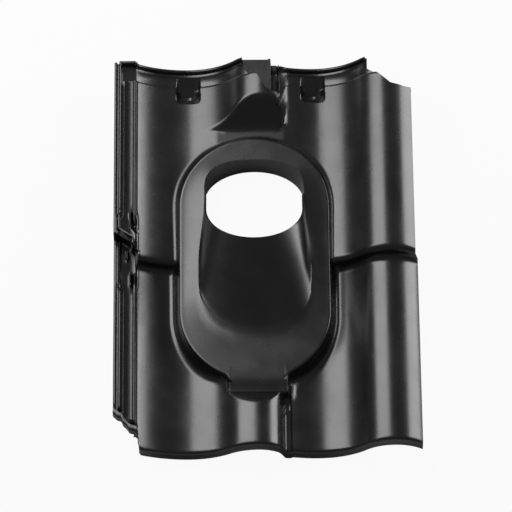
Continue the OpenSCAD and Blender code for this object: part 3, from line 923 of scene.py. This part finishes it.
# Studio: pale floor, soft boxes and a camera at the photograph's angle
studio = {
    "aim": (-0.015, -0.015, 0.063), "distance": 6.5, "lean": 25.0, "lens": 291.3, "sensor": 36.0,
    "roll": -0.6, "clipEnd": 100.0, "floorHalf": 6.0,
    "floorColour": (0.6, 0.6, 0.6, 1.0), "shadowShare": 0.06, "worldLevel": 0.1,
}

# soft boxes: their two long edges as (x, z), their run along y, radiance
softBoxes = {
    "leftPanel": ((-0.25, 1.78), (-2.30, 1.78), (0.20, 1.90), 4.0),
    "rightPanel": ((1.70, 1.45), (2.10, 0.05), (0.20, 2.00), 4.6),
}


def paleStage(shadowShare):
    material = bpy.data.materials.new("pale_floor")
    material.use_nodes = True
    nodes, links = material.node_tree.nodes, material.node_tree.links
    nodes.clear()
    out = nodes.new("ShaderNodeOutputMaterial")
    lit = nodes.new("ShaderNodeBsdfDiffuse")
    lit.inputs["Color"].default_value = studio["floorColour"]
    white = nodes.new("ShaderNodeEmission")
    path = nodes.new("ShaderNodeLightPath")
    share = nodes.new("ShaderNodeMath")
    share.operation = "MULTIPLY"
    share.inputs[1].default_value = 1 - shadowShare
    mix = nodes.new("ShaderNodeMixShader")
    links.new(path.outputs["Is Camera Ray"], share.inputs[0])
    links.new(share.outputs["Value"], mix.inputs["Fac"])
    links.new(lit.outputs["BSDF"], mix.inputs[1])
    links.new(white.outputs["Emission"], mix.inputs[2])
    links.new(mix.outputs["Shader"], out.inputs["Surface"])
    return material


floorMesh = bpy.data.meshes.new("floor")
floorBm = bmesh.new()
bmesh.ops.create_grid(floorBm, x_segments=1, y_segments=1, size=studio["floorHalf"])
floorBm.to_mesh(floorMesh)
floorBm.free()
floor = bpy.data.objects.new("floor", floorMesh)
bpy.context.scene.collection.objects.link(floor)
floorMesh.materials.append(paleStage(studio["shadowShare"]))

# the world is white to the camera and dim as a light
world = bpy.data.worlds.new("studio")
bpy.context.scene.world = world
world.use_nodes = True
worldNodes, worldLinks = world.node_tree.nodes, world.node_tree.links
background = worldNodes["Background"]
background.inputs["Color"].default_value = (1, 1, 1, 1)
worldPath = worldNodes.new("ShaderNodeLightPath")
level = worldNodes.new("ShaderNodeMapRange")
level.inputs["To Min"].default_value = studio["worldLevel"]
level.inputs["To Max"].default_value = 1.0
worldLinks.new(worldPath.outputs["Is Camera Ray"], level.inputs["Value"])
worldLinks.new(level.outputs["Result"], background.inputs["Strength"])


def addSoftBox(name, values):
    upper, lower, span, radiance = values
    middle = Vector(((upper[0] + lower[0]) / 2, (span[0] + span[1]) / 2, (upper[1] + lower[1]) / 2))
    across = Vector((upper[0] - lower[0], 0, upper[1] - lower[1]))
    width = across.length
    length = span[1] - span[0]
    x, y = across.normalized(), Vector((0, 1, 0))
    z = x.cross(y)
    if z.dot(middle) < 0:  # the lamp shines along -z, so z points away from the tile
        y, z = -y, -z
    lamp = bpy.data.lights.new(name, "AREA")
    lamp.shape = "RECTANGLE"
    lamp.size = width
    lamp.size_y = length
    lamp.energy = radiance * math.pi * width * length
    holder = bpy.data.objects.new(name, lamp)
    holder.matrix_world = Matrix.Translation(middle) @ Matrix([x, y, z]).transposed().to_4x4()
    holder.visible_camera = False
    bpy.context.scene.collection.objects.link(holder)


for name, values in softBoxes.items():
    addSoftBox(name, values)

camera = bpy.data.objects.new("camera", bpy.data.cameras.new("camera"))
lean = math.radians(studio["lean"])
aimX, aimY, aimZ = studio["aim"]
backward = studio["distance"] * math.sin(lean)
upward = studio["distance"] * math.cos(lean)
camera.location = (aimX, aimY - backward, aimZ + upward)
turned = Matrix.Rotation(lean, 3, "X") @ Matrix.Rotation(math.radians(studio["roll"]), 3, "Z")
camera.rotation_euler = turned.to_euler()
camera.data.lens = studio["lens"]
camera.data.sensor_width = studio["sensor"]
camera.data.sensor_fit = "HORIZONTAL"
camera.data.clip_end = studio["clipEnd"]
bpy.context.scene.collection.objects.link(camera)
bpy.context.scene.camera = camera
bpy.context.scene.view_settings.view_transform = "Standard"
print("studio", len(softBoxes), "soft boxes")
